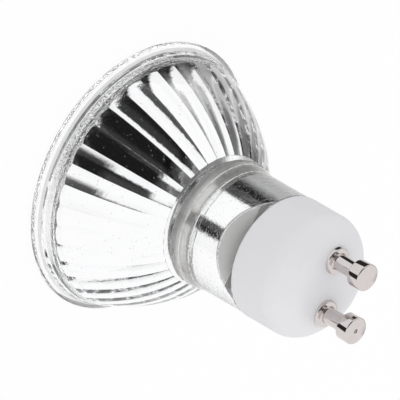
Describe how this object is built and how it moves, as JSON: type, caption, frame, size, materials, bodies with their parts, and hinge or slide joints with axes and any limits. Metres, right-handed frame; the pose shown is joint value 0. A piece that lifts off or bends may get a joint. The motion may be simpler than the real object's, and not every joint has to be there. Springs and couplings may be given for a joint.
{
  "type": "halogen reflector lamp",
  "caption": "Mains halogen reflector lamp with a fluted mirror bowl, clear front glass, white ceramic base and bayonet contact pins.",
  "frame": {"origin": "centre of the front glass's outer face, which the lamp stands on", "axes": "+Z along the lamp's axis towards the pins, X through both pins"},
  "size_m": [0.05, 0.05, 0.0569],
  "materials": {
    "clear_glass": "clear polished glass",
    "clear_adhesive": "clear cured adhesive",
    "mirrored_glass": "pressed glass, aluminised inside",
    "white_ceramic": "fired, matte",
    "nickel_plate": "bright nickel plate",
    "cement": "set cement, rough",
    "quartz": "clear fused quartz",
    "tungsten": "drawn wire",
    "molybdenum": "bright wire and foil"
  },
  "bodies": {
    "root": {"front_lens": "clear_glass", "lens_adhesive": "clear_adhesive", "reflector": "mirrored_glass", "ceramic_base": "white_ceramic", "contact_pin_1": "nickel_plate", "contact_pin_2": "nickel_plate", "base_cement": "cement", "capsule_envelope": "quartz", "filament": "tungsten", "filament_support": "tungsten", "inner_lead_1": "tungsten", "inner_lead_2": "tungsten", "seal_foil_1": "molybdenum", "seal_foil_2": "molybdenum", "outer_lead_1": "molybdenum", "outer_lead_2": "molybdenum", "fuse_wire": "molybdenum"}
  },
  "joints": []
}
